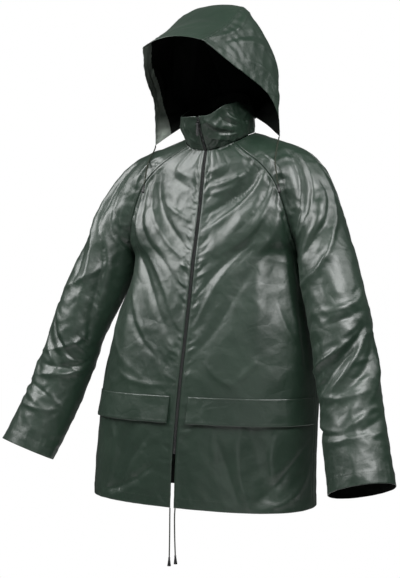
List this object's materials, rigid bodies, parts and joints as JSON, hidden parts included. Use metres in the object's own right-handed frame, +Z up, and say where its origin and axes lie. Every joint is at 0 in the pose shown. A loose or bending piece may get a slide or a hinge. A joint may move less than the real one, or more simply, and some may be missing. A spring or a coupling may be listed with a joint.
{
  "type": "raincoat",
  "caption": "Worn, empty hooded raincoat with raglan sleeves, stand collar, full front zip and wide pocket flaps.",
  "frame": {"origin": "in the neck opening, on the mid plane, level with the side neck points, where the wearer's shoulders and neck hold the coat", "axes": "+Z up, the front faces -Y, the wearer's left is +X"},
  "size_m": [0.956, 0.3696, 1.254],
  "materials": {
    "shell": "coated dark green taffeta with a wet gloss",
    "tape": "matt woven dark green tape",
    "cord": "braided olive cord",
    "plastic": "black moulded plastic"
  },
  "bodies": {
    "coat": {"front_right": "shell", "front_left": "shell", "back": "shell", "sleeve_right": "shell", "sleeve_left": "shell", "collar": "shell", "hood_centre": "shell", "hood_side_right": "shell", "hood_side_left": "shell", "pocket_flap_right": "shell", "pocket_flap_left": "shell", "zip_tape_right": "tape", "zip_tape_left": "tape", "zip_coil": "plastic", "zip_slider": "plastic", "hood_cord_right": "cord", "hood_cord_left": "cord", "hood_cord_end_right": "plastic", "hood_cord_end_left": "plastic", "hem_cord_right": "cord", "hem_cord_left": "cord", "hem_cord_end_right": "plastic", "hem_cord_end_left": "plastic"},
    "pull_tab": {"zip_pull": "plastic"}
  },
  "joints": [
    {"name": "pull_swing", "type": "hinge", "parent": "coat", "child": "pull_tab", "pos_m": [0, -0.09058, 0.01408], "axis": [1, 0, 0], "range_deg": [-135, 18]}
  ]
}
